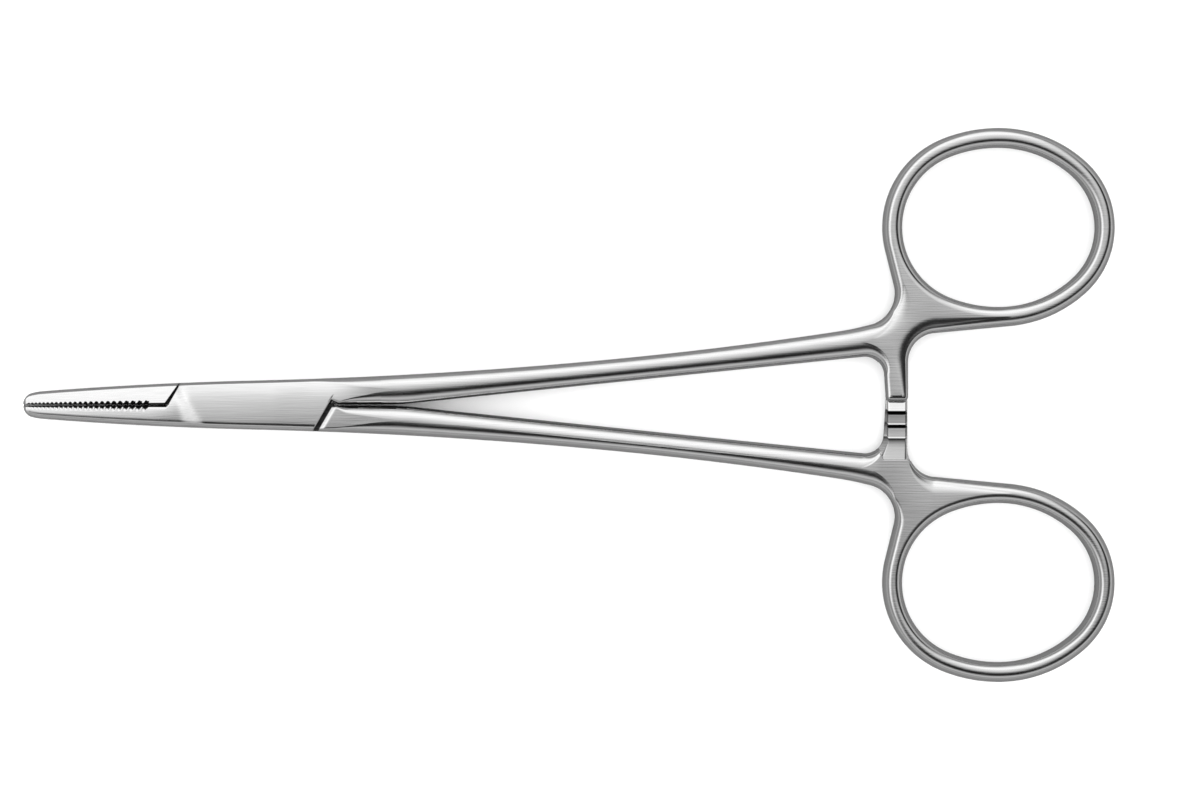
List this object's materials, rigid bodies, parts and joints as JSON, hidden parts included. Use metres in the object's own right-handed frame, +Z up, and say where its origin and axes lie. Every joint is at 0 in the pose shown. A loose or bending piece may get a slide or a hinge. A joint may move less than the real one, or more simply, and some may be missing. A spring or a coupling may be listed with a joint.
{
  "type": "needle holder",
  "caption": "Surgical needle holder with serrated jaws, a box lock on a flush pivot, long tapered shanks, a ratchet and oval finger rings.",
  "frame": {"origin": "centre of the bounding box in X and Y, on the surface that the instrument lies on", "axes": "+X from the jaws to the finger rings along the closed instrument, +Y towards the ring of the box half, +Z up, through the thickness"},
  "size_m": [0.15, 0.0762, 0.0046],
  "materials": {
    "satin_steel": "bright satin stainless steel, finely brushed along the length",
    "pivot_steel": "stainless rivet, ground flush and brushed with the lock"
  },
  "bodies": {
    "box_body": {"box_half": "satin_steel", "pivot_pin": "pivot_steel"},
    "tongue_body": {"tongue_half": "satin_steel"}
  },
  "joints": [
    {"name": "box_lock_pivot", "type": "hinge", "parent": "box_body", "child": "tongue_body", "pos_m": [-0.0438, 0, 0.0023], "axis": [0, 0, -1], "range_deg": [0, 40]}
  ]
}
